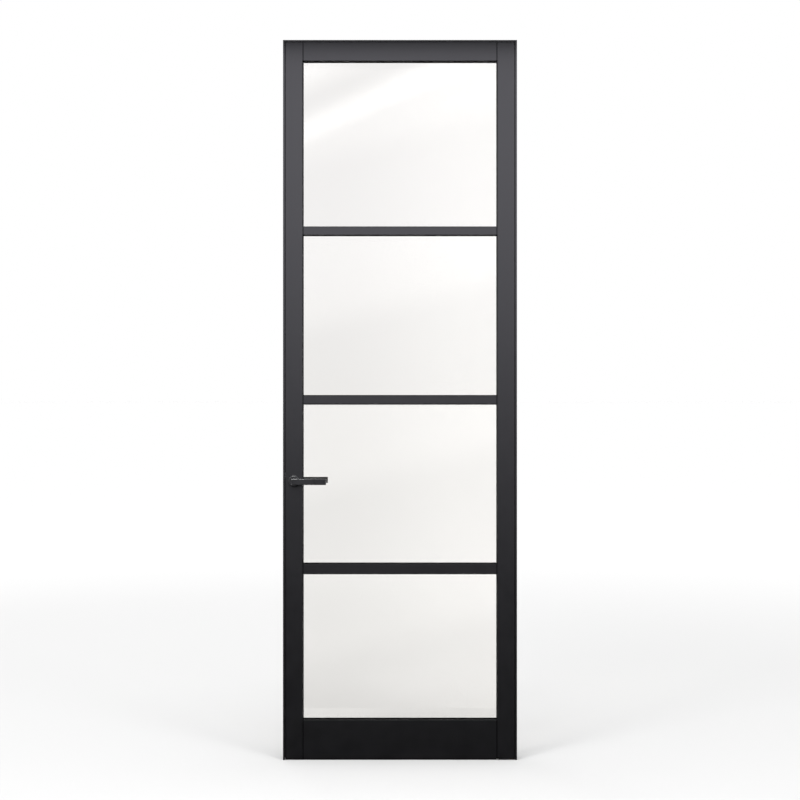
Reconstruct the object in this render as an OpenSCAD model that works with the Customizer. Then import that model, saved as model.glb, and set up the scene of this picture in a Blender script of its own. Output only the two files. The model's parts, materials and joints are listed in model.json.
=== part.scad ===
// Interior door: a tall leaf of stiles, rails and glazing bars with a pane in each opening, hung on
// hidden corner pivots in a slim metal frame. A lever on each side works a sprung latch.
// Millimetres. X runs along the doorway and Z up from the floor. Y runs through the doorway:
// the leaf opens towards -Y, and the origin is on the floor under the middle of the leaf.

/* [Leaf] */
// Width of the leaf
leaf_w = 830; // [760:5:930]
// Height of the leaf
leaf_h = 2590; // [2400:5:2700]
// Thickness of the leaf
leaf_t = 40; // [40:1:46]
// Width of each stile up to the glass opening
stile_w = 63; // [60:0.5:75]
// Height of the top rail up to the glass opening
top_rail_h = 67; // [60:1:90]
// Height of the bottom rail up to the glass opening
bottom_rail_h = 140; // [110:1:200]
// Height of the upper and the middle glazing bar
bar_h = 30; // [26:1:40]
// Height of the lower glazing bar, which is stouter
lower_bar_h = 37; // [26:1:44]
// Distance between the middles of neighbouring bars
bar_pitch = 611.5; // [560:0.5:640]
// Height of the middle bar above the middle of the leaf
bar_lift = 2; // [0:0.5:10]
// Radius of the leaf's upright outer edges
edge_r = 2; // [1:0.5:3]
// Chamfer on the edges around the glass
arris = 1; // [0.5:0.5:2]
// Width of the shadow groove where a rail or bar meets a stile
joint_w = 3; // [1:0.5:4]
// Depth of that groove
joint_d = 5; // [2:0.5:6]

/* [Glazing] */
// Thickness of the glass
glass_t = 6; // [4:1:8]
// Depth of the glazing rebate into each member
rebate_d = 9; // [8:0.5:10]
// Thickness of the gasket's legs and back
gasket_t = 1.5; // [1:0.5:2]
// Width of the gasket seen past the edge of the opening
gasket_show = 2.5; // [1:0.5:4]

/* [Frame] */
// Gap between the leaf and the frame's front edge
leaf_gap = 2; // [2:0.5:3.5]
// Gap between the leaf and the floor
floor_gap = 5; // [5:0.5:12]
// Width of the frame's front edge
nose_w = 6; // [5:0.5:7]
// Depth of the frame's front edge
nose_d = 3; // [2:0.5:3]
// Thickness of the frame's web
web_t = 3; // [2.5:0.5:3]
// Width of the stop that the leaf closes against
stop_w = 18; // [16:0.5:18]
// Depth of the stop
stop_d = 18; // [16:1:24]
// Gap between the leaf and the stop
stop_gap = 4; // [4:0.5:6]
// Wall thickness of the hollow stop
stop_wall = 2; // [1.5:0.5:2.5]
// Length of each leg of the corner keys
key_l = 80; // [50:5:120]

/* [Seals] */
// Width of the seal's root and of its groove
seal_root_w = 3; // [2.5:0.5:4]
// Depth of the seal's root
seal_root_d = 4; // [3:0.5:4]
// Width of the seal's face
seal_w = 5; // [4.5:0.5:6]
// Gap between a seal and the closed leaf
seal_gap = 0.4; // [0.3:0.1:1]
// Distance that the head's seal stops short of the pivot
head_seal_short = 35; // [28:1:60]
// Gap between the pivot side's seal and the closed leaf
pivot_seal_gap = 2.4; // [2.2:0.1:3]
// Width of the seal under the leaf
foot_seal_w = 6; // [5:0.5:8]
// Depth of that seal's groove
foot_seal_d = 7; // [5:0.5:10]
// Gap between that seal and the floor
foot_seal_gap = 0.5; // [0.5:0.5:2]
// Distance from that seal to the leaf's front face
foot_seal_in = 2; // [2:0.5:10]
// Distance from that seal's end to the pivot
foot_seal_short = 55; // [55:1:150]

/* [Lever] */
// Height of the lever's spindle above the floor
lever_z = 1008; // [950:1:1100]
// Distance from the leaf's edge to the spindle
backset = 32.5; // [30:0.5:33]
// Length of the lever from the spindle to its end
lever_len = 117.5; // [100:0.5:140]
// Height of the lever's flat bar
lever_h = 22; // [18:0.5:24]
// Thickness of the lever's flat bar
lever_t = 12; // [8:0.5:14]
// Distance from the leaf's face to the front of the lever
lever_reach = 52; // [48:1:60]
// Radius of the lever's edges
lever_r = 1.6; // [0.6:0.2:2]
// Diameter of the lever's round neck
neck_d = 16; // [15:0.5:17]
// Diameter of the rosette
rosette_d = 42; // [36:1:44]
// Thickness of the rosette
rosette_t = 10; // [8:0.5:12]
// Radius of the rosette's front edge
rosette_r = 3; // [1:0.5:4]
// Gap between the neck and the rosette
neck_gap = 0.4; // [0.3:0.1:0.6]
// Diameter of the rosette's spigots
spigot_d = 4; // [3:0.5:4]
// Length of the rosette's spigots
spigot_l = 9; // [6:0.5:10]
// Side of the square spindle
spindle_s = 8; // [7:0.5:8]
// Diameter of the grub screw that holds a lever on the spindle
grub_d = 5; // [4:0.5:5]
// Depth that the spindle stops short of the lever's flat bar
spindle_short = 6; // [2:1:10]
// Angle that the lever turns through
lever_turn = 45; // [40:1:45]

/* [Lock] */
// Thickness of the lock's faceplate
plate_t = 3; // [2:0.5:3]
// Width of the lock's faceplate
plate_w = 18; // [17:0.5:20]
// Distance that the faceplate runs past the case at each end
plate_over = 20; // [16:1:30]
// Thickness of the lock case
case_t = 15; // [14:0.5:16]
// Sheet thickness of the lock case
case_wall = 1.5; // [1:0.5:2]
// Distance from the spindle down to the case's lower end
case_below = 40; // [20:1:60]
// Distance from the latch bolt up to the case's upper end
case_above = 13; // [6:1:30]
// Gap behind the drawn-back latch bolt in the case
case_gap = 1.3; // [0.5:0.1:1.5]
// Height of the latch bolt
latch_h = 18; // [14:1:20]
// Length of the latch bolt's head behind the faceplate
latch_back = 9; // [8:0.5:10]
// Height of the latch bolt above the follower's drive pin
latch_rise = 10; // [10:0.5:14]
// Depth of the drawn-back latch bolt behind the faceplate's front
latch_sink = 0.5; // [0.2:0.1:1]
// Play around the latch bolt
latch_play = 0.2; // [0.1:0.1:0.3]
// Thickness of the latch bolt's tail
tail_t = 3; // [2:0.5:3]
// Width of the tooth that the drive pin pushes
fork_tooth = 2; // [1.5:0.25:2]
// Gap between the latch bolt's tail and the pieces that it passes
tail_gap = 0.5; // [0.3:0.1:0.6]
// Diameter of the follower's hub
hub_d = 15; // [14:0.5:15.5]
// Diameter of the follower's journals in the case
journal_d = 13; // [12.5:0.5:13.5]
// Radial play of the journals in the case
journal_play = 0.05; // [0.03:0.01:0.1]
// Diameter of the follower's drive pin
drive_d = 4; // [3:0.5:4]
// Thickness of the follower's crank
crank_t = 2.5; // [2:0.25:2.5]
// Play of the drive pin in the latch bolt's fork
drive_play = 0.7; // [0.6:0.1:1]
// Outer radius of the latch spring
spring_r = 3.5; // [2.5:0.25:3.5]
// Wire diameter of the latch spring
wire_d = 0.8; // [0.6:0.1:1]
// Turns of the latch spring
spring_turns = 8; // [6:1:10]

/* [Strike] */
// Thickness of the strike plate
strike_t = 1.5; // [1:0.5:1.5]
// Height of the strike plate
strike_h = 90; // [80:2:110]
// Depth of the strike plate
strike_w = 30; // [26:1:30]
// Distance from the strike plate's ends to its screws
strike_screw_in = 8; // [6:0.5:12]
// Play around the latch bolt in the strike
strike_play = 1; // [0.5:0.25:1.5]

/* [Pivots] */
// Distance from the leaf's face and edge to the pivot
pivot_in = 12; // [11:0.5:12]
// Diameter of the pivot pins
pivot_d = 10; // [8:0.5:10]
// Radial play of the pivot pins in their bushes
pivot_play = 0.05; // [0.03:0.01:0.1]
// Length of a pivot pin in its bush
pivot_l = 25; // [15:1:28]
// Outer diameter of the bushes
bush_d = 16; // [14:0.5:18]
// Length of the bushes
bush_l = 32; // [30:1:40]
// Diameter of the upper pin's flange
flange_d = 20; // [16:1:22]
// Thickness of the upper pin's flange
flange_t = 1.5; // [1:0.25:1.5]
// Thickness of the floor plate under the lower pin
floor_plate_t = 3; // [2:0.5:4]
// Depth of the floor plate
floor_plate_w = 33; // [30:1:36]
// Length of the floor plate past the pivot
floor_plate_l = 45; // [40:1:60]
// Diameter of the thrust washer
washer_d = 20; // [16:1:22]

/* [Fixings] */
// Diameter of the holes for the wall screws
fix_d = 5.5; // [4:0.5:6]
// Distance from the frame's front to the wall screws
fix_v = 27; // [20:0.5:32]
// Distance from the frame's ends to the outer wall screws
fix_end = 200; // [100:10:300]
// Distance between the two wall screws beside the latch
fix_pitch = 500; // [300:10:800]
// Distance between the two screws through the head
head_fix_pitch = 500; // [300:10:600]
// Distance from the frame's ends to the first screws of the stops
stop_screw_end = 150; // [130:5:250]
// Number of screws that hold each upright stop
stop_screw_n = 5; // [3:1:9]
// Length of the screws that hold the stops
stop_screw_l = 8; // [6:0.5:10]
// Diameter of the holes for the floor screws
floor_fix_d = 5; // [4:0.5:5.5]
// Distance from the floor plate's end to the floor screws
floor_fix_in = 10; // [7:0.5:14]
// Distance between the two floor screws
floor_fix_pitch = 20; // [16:1:22]
// Thread diameter of the lock's and strike's screws
screw_d = 3.5; // [3:0.5:4]
// Head diameter of the lock's and strike's screws
screw_head_d = 6.5; // [6:0.5:7]
// Length of the cross recess in a screw's head
screw_cross_l = 3.6; // [2:0.2:4]
// Width of the cross recess
screw_cross_w = 0.9; // [0.6:0.1:1.2]
// Depth of the cross recess
screw_cross_h = 1.2; // [0.5:0.1:1.4]
// Length of the faceplate's screws
screw_l = 22; // [16:1:30]
// Diameter of the dowels between rails and stiles
dowel_d = 8; // [6:0.5:8]
// Length of the dowels
dowel_l = 72; // [50:2:76]
// Distance between the dowels of the top rail
top_dowel_pitch = 36; // [24:1:40]
// Distance between the dowels of the bottom rail
bottom_dowel_pitch = 68; // [40:1:80]
// Clearance of pieces that are fitted by hand
fit = 0.1; // [0.05:0.05:0.2]

/* [Hidden] */
$fn = 64;
leaf_x = leaf_w / 2;
leaf_y = leaf_t / 2;
leaf_top = floor_gap + leaf_h;
out_x = leaf_x + leaf_gap + nose_w;
out_h = leaf_top + leaf_gap + nose_w;
open_x = leaf_x - stile_w;
lip_t = (leaf_t - glass_t) / 2 - gasket_t;
mid_z = floor_gap + leaf_h / 2;
bar_z = [for (i = [1, 0, -1]) mid_z + bar_lift + i * bar_pitch];
bar_heights = [bar_h, bar_h, lower_bar_h];
pane_hi = concat([leaf_top - top_rail_h], [for (i = [0:2]) bar_z[i] - bar_heights[i] / 2]);
pane_lo = concat([for (i = [0:2]) bar_z[i] + bar_heights[i] / 2], [floor_gap + bottom_rail_h]);
stop_v = leaf_t + stop_gap;
groove_u = leaf_gap + nose_w + (stop_w - leaf_gap - nose_w) / 2;
chamber_u = web_t + stop_wall;
chamber_v = stop_v + seal_root_d + stop_wall;
spindle_x = -leaf_x + backset;
latch_out = leaf_gap + nose_w;
latch_travel = latch_out + latch_sink;
crank_r = latch_travel / sin(lever_turn);
latch_z = lever_z + crank_r + latch_rise;
latch_t = case_t - 2 * case_wall - 2 * latch_play;
fork_w = drive_d + 2 * drive_play;
tail_lo = lever_z + hub_d / 2 + tail_gap;
tail_hi = latch_z - 4;
head_x = -leaf_x + plate_t + latch_back;
fork_end = spindle_x + fork_w / 2 + fork_tooth;
case_front = -leaf_x + plate_t;
case_back = fork_end + latch_travel + case_gap + case_wall;
case_lo = lever_z - case_below;
case_hi = latch_z + latch_h / 2 + case_above;
plate_lo = case_lo - plate_over;
plate_hi = case_hi + plate_over;
plate_screw_z = [plate_lo + plate_over / 2, plate_hi - plate_over / 2];
strike_y = -leaf_y + nose_d + fit;
strike_screw_z = [latch_z - strike_h / 2 + strike_screw_in, latch_z + strike_h / 2 - strike_screw_in];
spigot_off = (rosette_d + neck_d) / 4;
pivot_x = leaf_x - pivot_in;
foot_seal_x = pivot_x - foot_seal_short;
foot_seal_y = foot_seal_in + foot_seal_w / 2 - leaf_y;
pivot_y = -leaf_y + pivot_in;
fix_y = -leaf_y + fix_v;
stop_screw_y = -leaf_y + (chamber_v + stop_v + stop_d - stop_wall) / 2;
stop_screw_gap = (out_h - 2 * stop_screw_end) / (stop_screw_n - 1);
stop_screw_z = [for (i = [0:stop_screw_n - 1]) stop_screw_end + i * stop_screw_gap];
stop_screw_x = [-out_x + stop_screw_end, 0, out_x - stop_screw_end];
lever_back_y = -leaf_y - lever_reach + lever_t;
spindle_end = leaf_y + lever_reach - lever_t - spindle_short;
grub_y = leaf_y + (rosette_t + lever_reach - lever_t) / 2;
dowel_y = -leaf_y + (joint_d + lip_t) / 2;
rail_dowel_z = [
    for (s = [-1, 1]) leaf_top - top_rail_h / 2 + s * top_dowel_pitch / 2,
    for (s = [-1, 1]) floor_gap + bottom_rail_h / 2 + s * bottom_dowel_pitch / 2
];

lacquer = "#2c2c2f";
frame_paint = "#29292b";
rubber = "#101010";
steel = "#b8babd";

// A box from its lowest to its highest corner.
module box(lo, hi) {
    translate(lo) cube(hi - lo);
}

// Carries an outline drawn in Y and Z along X.
module along_x(x0, x1) {
    translate([x0, 0, 0]) rotate([90, 0, 90]) linear_extrude(x1 - x0) children();
}

// Carries an outline drawn in X and Z along Y.
module along_y(y0, y1) {
    translate([0, y1, 0]) rotate([90, 0, 0]) linear_extrude(y1 - y0) children();
}

// A rectangle with round corners.
module round_rect(lo, hi, r) {
    translate([lo[0] + r, lo[1]]) square([hi[0] - lo[0] - 2 * r, hi[1] - lo[1]]);
    translate([lo[0], lo[1] + r]) square([hi[0] - lo[0], hi[1] - lo[1] - 2 * r]);
    for (x = [lo[0] + r, hi[0] - r], y = [lo[1] + r, hi[1] - r]) {
        translate([x, y]) circle(r);
    }
}

// A countersunk screw's hole along +X, with the head's face at x = 0.
module screw_hole(length) {
    rotate([0, 90, 0]) {
        cylinder(h = (screw_head_d - screw_d) / 2, d1 = screw_head_d, d2 = screw_d);
        cylinder(h = length, d = screw_d);
    }
}

// A countersunk screw with a cross recess in its head.
module screw(length) {
    l = screw_cross_l / 2;
    w = screw_cross_w / 2;
    difference() {
        screw_hole(length);
        box([-1, -l, -w], [screw_cross_h, l, w]);
        box([-1, -w, -l], [screw_cross_h, w, l]);
    }
}

// The section of the jambs and head: u runs inwards from their outer line, v back from their front.
module jamb_section() {
    square([nose_w, nose_d]);
    square([web_t, stop_v + stop_d]);
}

// The hollow stop's section on the web, in the same directions, with the seal's groove.
module stop_section() {
    difference() {
        translate([web_t, stop_v]) square([stop_w - web_t, stop_d]);
        translate([groove_u - seal_root_w / 2, stop_v - 1]) square([seal_root_w, seal_root_d + 1]);
        translate([chamber_u, chamber_v])
            square([stop_w - stop_wall - chamber_u, stop_v + stop_d - stop_wall - chamber_v]);
    }
}

// The seal's section in the stop's groove, round-nosed where it is deep enough.
module seal_section(gap) {
    depth = stop_gap - gap;
    r = min(seal_w / 2, depth);
    translate([groove_u - seal_root_w / 2, stop_v - 0.5]) square([seal_root_w, seal_root_d + 0.5]);
    translate([groove_u - seal_w / 2, stop_v - depth + r]) square([seal_w, depth - r + 0.001]);
    translate([groove_u - seal_w / 2 + r, stop_v - depth])
        square([max(seal_w - 2 * r, 0.001), depth]);
    intersection() {
        for (s = [-1, 1]) {
            translate([groove_u + s * (seal_w / 2 - r), stop_v - depth + r]) circle(r);
        }
        translate([0, stop_v - depth - 1]) square([stop_w, depth + 1]);
    }
}

// Stands a frame outline up as the left jamb, mitred at its top.
module along_jamb() {
    reach = stop_w + 10;
    difference() {
        translate([-out_x, -leaf_y, 0]) linear_extrude(out_h) children();
        along_y(-leaf_y - 1, leaf_y + stop_gap + stop_d + 1)
            polygon([
                [-out_x - 1, out_h + 1], [-out_x + reach, out_h + 1], [-out_x + reach, out_h - reach]
            ]);
    }
}

// Lays a frame outline along the head, mitred at both ends.
module along_head() {
    reach = stop_w + 10;
    intersection() {
        along_x(-out_x, out_x) translate([-leaf_y, out_h]) rotate(-90) children();
        along_y(-leaf_y - 1, leaf_y + stop_gap + stop_d + 1)
            polygon([
                [-out_x, out_h], [out_x, out_h],
                [out_x - reach, out_h - reach], [-out_x + reach, out_h - reach]
            ]);
    }
}

// Puts a screw or its hole wherever one holds the left stop to its jamb.
module at_jamb_stop() {
    for (z = stop_screw_z) {
        translate([-out_x, stop_screw_y, z]) children();
    }
}

// Puts a screw or its hole wherever one holds the head's stop.
module at_head_stop() {
    for (x = stop_screw_x) {
        translate([x, stop_screw_y, out_h]) rotate([0, 90, 0]) children();
    }
}

// The screw holes through a jamb's web, at the left.
module jamb_holes() {
    for (z = [fix_end, out_h - fix_end, latch_z - fix_pitch / 2, latch_z + fix_pitch / 2]) {
        translate([-out_x - 1, fix_y, z]) rotate([0, 90, 0]) cylinder(h = web_t + 2, d = fix_d);
    }
}

// The arris around one opening, as a cutter on the face at -Y.
module arris_cut(i) {
    a = arris;
    y = -leaf_y;
    intersection() {
        along_x(-leaf_x, leaf_x)
            polygon([
                [y + a, pane_lo[i]], [y + a, pane_hi[i]],
                [y - 1, pane_hi[i] + a + 1], [y - 1, pane_lo[i] - a - 1]
            ]);
        linear_extrude(leaf_top + 10)
            polygon([
                [-open_x, y + a], [open_x, y + a], [open_x + a + 1, y - 1], [-open_x - a - 1, y - 1]
            ]);
    }
}

// The rebate for one pane, its gasket and its beads, open to the back.
module rebate_cut(i) {
    box([-open_x - rebate_d, -leaf_y + lip_t, pane_lo[i] - rebate_d],
        [open_x + rebate_d, leaf_y + 1, pane_hi[i] + rebate_d]);
}

// Everything that the glazing takes out of the leaf's timber.
module glazing_cuts() {
    for (i = [0:3]) {
        rebate_cut(i);
        arris_cut(i);
    }
}

// The shadow grooves at both ends of a rail or bar, between two heights.
module joint_cuts(z0, z1) {
    for (mx = [0, 1], my = [0, 1]) {
        mirror([mx, 0, 0]) mirror([0, my, 0])
            box([open_x - joint_w, leaf_y - joint_d, z0 - 1], [open_x + 1, leaf_y + 1, z1 + 1]);
    }
}

// All the dowels, or with a clearance the holes for them.
module dowels(clear) {
    for (s = [-1, 1], z = concat(rail_dowel_z, bar_z)) {
        translate([s * open_x - dowel_l / 2 - clear, dowel_y, z]) rotate([0, 90, 0])
            cylinder(h = dowel_l + 2 * clear, d = dowel_d + 2 * clear);
    }
}

// The plain right-hand stile with its round outer edges.
module stile_blank() {
    translate([0, 0, floor_gap]) linear_extrude(leaf_h) difference() {
        translate([open_x, -leaf_y]) square([stile_w, leaf_t]);
        for (m = [0, 1]) {
            mirror([0, m, 0]) translate([leaf_x - edge_r, leaf_y - edge_r]) difference() {
                square(edge_r + 1);
                circle(edge_r);
            }
        }
    }
}

// A rail or bar between two heights, worked for its glazing and joints.
module cross_member(z0, z1) {
    difference() {
        box([-open_x, -leaf_y, z0], [open_x, leaf_y, z1]);
        glazing_cuts();
        joint_cuts(z0, z1);
        dowels(fit);
    }
}

// The faceplate's outline in Y and Z, with round ends.
module plate_outline(clear) {
    r = plate_w / 2 + clear;
    translate([-r, plate_lo + plate_w / 2]) square([2 * r, plate_hi - plate_lo - plate_w]);
    for (z = [plate_lo + plate_w / 2, plate_hi - plate_w / 2]) {
        translate([0, z]) circle(r);
    }
}

// One side of the lever set's seat in the stile, at -Y.
module spigots(clear) {
    for (s = [-1, 1]) {
        translate([spindle_x, -leaf_y, lever_z + s * spigot_off]) rotate([-90, 0, 0])
            cylinder(h = spigot_l + clear, d = spigot_d + 2 * clear);
    }
}

// A pane's glass, or with a margin the space around it.
module pane(i) {
    m = rebate_d - gasket_t;
    box([-open_x - m, -glass_t / 2, pane_lo[i] - m], [open_x + m, glass_t / 2, pane_hi[i] + m]);
}

// The channel gasket around a pane's edge.
module gasket(i) {
    s = gasket_show;
    t = glass_t / 2 + gasket_t;
    difference() {
        box([-open_x - rebate_d, -t, pane_lo[i] - rebate_d],
            [open_x + rebate_d, t, pane_hi[i] + rebate_d]);
        pane(i);
        box([-open_x + s, -t - 1, pane_lo[i] + s], [open_x - s, t + 1, pane_hi[i] - s]);
    }
}

// One mitred bead: side 0 is the top, 1 the bottom, 2 the left and 3 the right.
module bead(i, side) {
    x = open_x + rebate_d;
    hi = pane_hi[i] + rebate_d;
    lo = pane_lo[i] - rebate_d;
    b = rebate_d;
    outer = [[-x, hi], [x, hi], [x, lo], [-x, lo]];
    inner = [[-x + b, hi - b], [x - b, hi - b], [x - b, lo + b], [-x + b, lo + b]];
    ends = [[0, 1], [2, 3], [3, 0], [1, 2]][side];
    difference() {
        along_y(leaf_y - lip_t, leaf_y)
            polygon([outer[ends[0]], outer[ends[1]], inner[ends[1]], inner[ends[0]]]);
        mirror([0, 1, 0]) arris_cut(i);
    }
}

// The lever for the face at -Y: a round neck that carries a flat bar.
module lever() {
    y0 = -leaf_y - lever_reach;
    y1 = lever_back_y;
    x0 = spindle_x - neck_d / 2;
    x1 = spindle_x + lever_len;
    z0 = lever_z - lever_h / 2;
    z1 = lever_z + lever_h / 2;
    difference() {
        union() {
            intersection() {
                along_x(x0, x1) round_rect([y0, z0], [y1, z1], lever_r);
                along_y(y0, y1) round_rect([x0, z0], [x1, z1], lever_r);
                translate([0, 0, z0]) linear_extrude(z1 - z0)
                    round_rect([x0, y0], [x1, y1], lever_r);
            }
            translate([spindle_x, -leaf_y - 0.5, lever_z]) rotate([90, 0, 0])
                cylinder(h = lever_reach - lever_t / 2, d = neck_d);
        }
        box([spindle_x - spindle_s / 2 - fit, -spindle_end - fit, lever_z - spindle_s / 2 - fit],
            [spindle_x + spindle_s / 2 + fit, 0, lever_z + spindle_s / 2 + fit]);
        translate([spindle_x, -grub_y, lever_z - neck_d]) cylinder(h = neck_d, d = grub_d);
    }
}

// The rosette for the face at -Y, with the two spigots that hold it.
module rosette() {
    r = rosette_d / 2;
    r_in = neck_d / 2 + neck_gap;
    translate([spindle_x, -leaf_y, lever_z]) rotate([90, 0, 0]) rotate_extrude() {
        translate([r_in, 0]) square([r - r_in, rosette_t - rosette_r]);
        translate([r_in, 0]) square([r - rosette_r - r_in, rosette_t]);
        translate([r - rosette_r, rosette_t - rosette_r]) circle(rosette_r);
    }
    spigots(0);
}

// A bush for a pivot pin, from a height upwards.
module bush(z) {
    translate([pivot_x, pivot_y, z]) difference() {
        cylinder(h = bush_l, d = bush_d);
        translate([0, 0, -1]) cylinder(h = bush_l + 2, d = pivot_d + 2 * pivot_play);
    }
}

// One ring of points around the spring's wire, at a share of its turns.
function spring_ring(t, x0, x1) = [
    for (k = [0:5])
        let (turn = 360 * spring_turns * t, a = 60 * k, w = wire_d / 2)
        let (m = spring_r - w, r = m + w * cos(a))
        [x0 + w + (x1 - x0 - 2 * w) * t + w * sin(a), r * cos(turn), r * sin(turn)]
];

// The frame.

module lock_jamb() {
    color(frame_paint) difference() {
        along_jamb() jamb_section();
        jamb_holes();
        at_jamb_stop() screw_hole(stop_screw_l);
        box([-out_x - 1, -latch_t / 2 - strike_play, latch_z - latch_h / 2 - strike_play],
            [-out_x + web_t + 1, latch_t / 2 + strike_play, latch_z + latch_h / 2 + strike_play]);
        for (z = strike_screw_z) {
            translate([-out_x - 1, strike_y + strike_w / 2, z]) rotate([0, 90, 0])
                cylinder(h = web_t + 2, d = screw_d + 2 * fit);
        }
    }
}

module pivot_jamb() {
    color(frame_paint) mirror([1, 0, 0]) difference() {
        along_jamb() jamb_section();
        jamb_holes();
        at_jamb_stop() screw_hole(stop_screw_l);
    }
}

module frame_head() {
    color(frame_paint) difference() {
        along_head() jamb_section();
        at_head_stop() screw_hole(stop_screw_l);
        for (s = [-1, 1]) {
            translate([s * head_fix_pitch / 2, fix_y, out_h - web_t - 1])
                cylinder(h = web_t + 2, d = fix_d);
        }
        translate([pivot_x, pivot_y, out_h - web_t - 1]) cylinder(h = web_t + 2, d = pivot_d + 2 * fit);
        translate([pivot_x, pivot_y, out_h - flange_t]) cylinder(h = 2, d = flange_d + 2 * fit);
    }
}

module lock_stop() {
    color(frame_paint) difference() {
        along_jamb() stop_section();
        at_jamb_stop() screw_hole(stop_screw_l);
    }
}

module pivot_stop() {
    color(frame_paint) mirror([1, 0, 0]) difference() {
        along_jamb() stop_section();
        at_jamb_stop() screw_hole(stop_screw_l);
    }
}

module head_stop() {
    color(frame_paint) difference() {
        along_head() stop_section();
        at_head_stop() screw_hole(stop_screw_l);
    }
}

module stop_screws() {
    color(steel) {
        at_jamb_stop() screw(stop_screw_l);
        mirror([1, 0, 0]) at_jamb_stop() screw(stop_screw_l);
        at_head_stop() screw(stop_screw_l);
    }
}

module corner_keys() {
    u0 = chamber_u + fit;
    u1 = stop_w - stop_wall - fit;
    color("#9a9c9f") for (m = [0, 1]) {
        mirror([m, 0, 0])
            along_y(-leaf_y + chamber_v + fit, -leaf_y + stop_v + stop_d - stop_wall - fit)
            polygon([
                [-out_x + u0, out_h - u0], [-out_x + key_l, out_h - u0], [-out_x + key_l, out_h - u1],
                [-out_x + u1, out_h - u1], [-out_x + u1, out_h - key_l], [-out_x + u0, out_h - key_l]
            ]);
    }
}

module lock_side_seal() {
    color(rubber) along_jamb() seal_section(seal_gap);
}

module head_seal() {
    color(rubber) difference() {
        along_head() seal_section(seal_gap);
        box([pivot_x - head_seal_short, -leaf_y, out_h - stop_w - 1],
            [out_x, leaf_y + stop_gap + stop_d, out_h]);
    }
}

module pivot_side_seal() {
    color(rubber) mirror([1, 0, 0]) along_jamb() seal_section(pivot_seal_gap);
}

module strike_plate() {
    x = -out_x + web_t;
    color(steel) difference() {
        along_x(x, x + strike_t)
            round_rect([strike_y, latch_z - strike_h / 2],
                [strike_y + strike_w, latch_z + strike_h / 2], 3);
        box([x - 1, -latch_t / 2 - strike_play, latch_z - latch_h / 2 - strike_play],
            [x + strike_t + 1, latch_t / 2 + strike_play, latch_z + latch_h / 2 + strike_play]);
        for (z = strike_screw_z) {
            translate([x + strike_t, strike_y + strike_w / 2, z]) mirror([1, 0, 0])
                screw_hole(strike_t + 1);
        }
    }
}

module strike_screws() {
    color(steel) for (z = strike_screw_z) {
        translate([-out_x + web_t + strike_t, strike_y + strike_w / 2, z]) mirror([1, 0, 0])
            screw(web_t + strike_t);
    }
}

module top_pivot_pin() {
    color(steel) translate([pivot_x, pivot_y, 0]) {
        translate([0, 0, leaf_top - pivot_l]) cylinder(h = out_h - leaf_top + pivot_l, d = pivot_d);
        translate([0, 0, out_h - flange_t]) cylinder(h = flange_t, d = flange_d);
    }
}

module floor_pivot() {
    y0 = -leaf_y + nose_d + fit;
    x0 = pivot_x - floor_plate_l;
    color(steel) {
        difference() {
            box([x0, y0, 0], [out_x - web_t, y0 + floor_plate_w, floor_plate_t]);
            for (s = [-1, 1]) {
                translate([x0 + floor_fix_in, y0 + floor_plate_w / 2 + s * floor_fix_pitch / 2, -1])
                    cylinder(h = floor_plate_t + 2, d = floor_fix_d);
            }
        }
        translate([pivot_x, pivot_y, 0]) cylinder(h = floor_gap + pivot_l, d = pivot_d);
    }
}

module thrust_washer() {
    color("#b49a57") translate([pivot_x, pivot_y, floor_plate_t]) difference() {
        cylinder(h = floor_gap - floor_plate_t, d = washer_d);
        translate([0, 0, -1]) cylinder(h = floor_gap, d = pivot_d + 2 * fit);
    }
}

// The leaf.

module lock_stile() {
    color(lacquer) difference() {
        mirror([1, 0, 0]) stile_blank();
        glazing_cuts();
        dowels(fit);
        foot_groove();
        along_x(-leaf_x - 1, case_front) plate_outline(fit);
        box([case_front - 1, -case_t / 2 - fit, case_lo - fit],
            [case_back + fit, case_t / 2 + fit, case_hi + fit]);
        translate([spindle_x, leaf_y + 1, lever_z]) rotate([90, 0, 0])
            cylinder(h = leaf_t + 2, d = neck_d + 2);
        for (m = [0, 1]) {
            mirror([0, m, 0]) spigots(fit);
        }
        for (z = plate_screw_z) {
            translate([-leaf_x, 0, z]) rotate([0, 90, 0])
                cylinder(h = screw_l + fit, d = screw_d + 2 * fit);
        }
    }
}

module pivot_stile() {
    color(lacquer) difference() {
        stile_blank();
        glazing_cuts();
        dowels(fit);
        for (z = [floor_gap - 1, leaf_top - bush_l]) {
            translate([pivot_x, pivot_y, z]) cylinder(h = bush_l + 1, d = bush_d + 2 * fit);
        }
    }
}

module top_rail() {
    color(lacquer) cross_member(pane_hi[0], leaf_top);
}

module bottom_rail() {
    color(lacquer) difference() {
        cross_member(floor_gap, pane_lo[3]);
        foot_groove();
    }
}

module upper_bar() {
    color(lacquer) cross_member(pane_hi[1], pane_lo[0]);
}

module middle_bar() {
    color(lacquer) cross_member(pane_hi[2], pane_lo[1]);
}

module lower_bar() {
    color(lacquer) cross_member(pane_hi[3], pane_lo[2]);
}

// The groove for the seal under the leaf.
module foot_groove() {
    translate([0, foot_seal_y, 0])
        box([-leaf_x - 1, -foot_seal_w / 2 - fit, floor_gap - 1],
            [foot_seal_x + fit, foot_seal_w / 2 + fit, floor_gap + foot_seal_d]);
}

// The seal under the leaf: a square root in the groove and a lip that narrows towards the floor.
module bottom_seal() {
    color(rubber) translate([0, foot_seal_y, 0]) along_x(-leaf_x + edge_r, foot_seal_x) polygon([
        [-foot_seal_w / 2, floor_gap + foot_seal_d], [foot_seal_w / 2, floor_gap + foot_seal_d],
        [foot_seal_w / 2, floor_gap], [foot_seal_w / 4, foot_seal_gap],
        [-foot_seal_w / 4, foot_seal_gap], [-foot_seal_w / 2, floor_gap]
    ]);
}

module rail_dowels() {
    color("#c9a876") dowels(0);
}

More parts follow.
